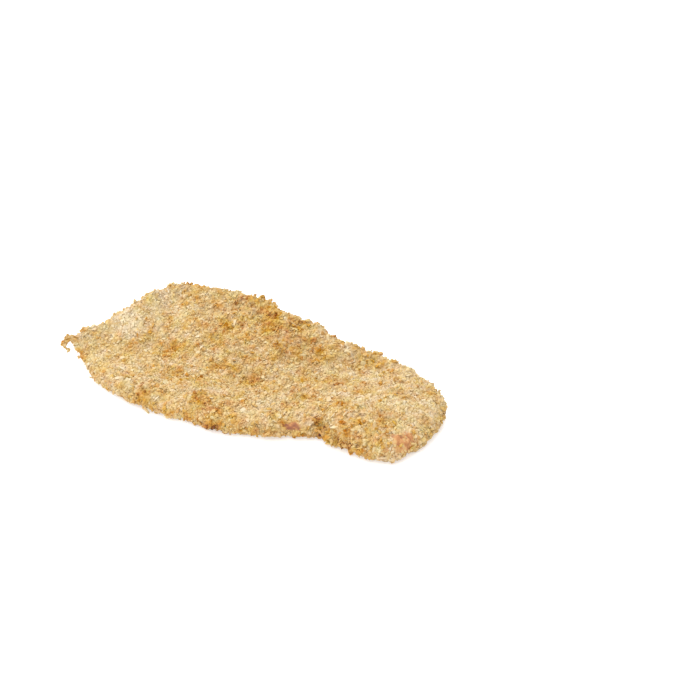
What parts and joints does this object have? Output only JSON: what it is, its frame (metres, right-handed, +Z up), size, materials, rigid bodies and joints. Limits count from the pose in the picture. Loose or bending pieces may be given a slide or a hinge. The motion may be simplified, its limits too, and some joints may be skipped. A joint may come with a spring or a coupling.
{
  "type": "breaded schnitzel",
  "caption": "Thin beaten cutlet in a dry breadcrumb crust, pointed at one end and lobed at the other, lying flat with its back rim curled up.",
  "frame": {"origin": "middle of the cutlet's box, on the table it lies on", "axes": "+X from the pointed end to the round lobe, +Y from the flat front rim to the curled back rim, +Z up from the table"},
  "size_m": [0.1884, 0.0896, 0.0274],
  "materials": {
    "breadcrumb_crust": "dry golden breadcrumbs"
  },
  "bodies": {
    "root": {"schnitzel": "breadcrumb_crust"}
  },
  "joints": []
}
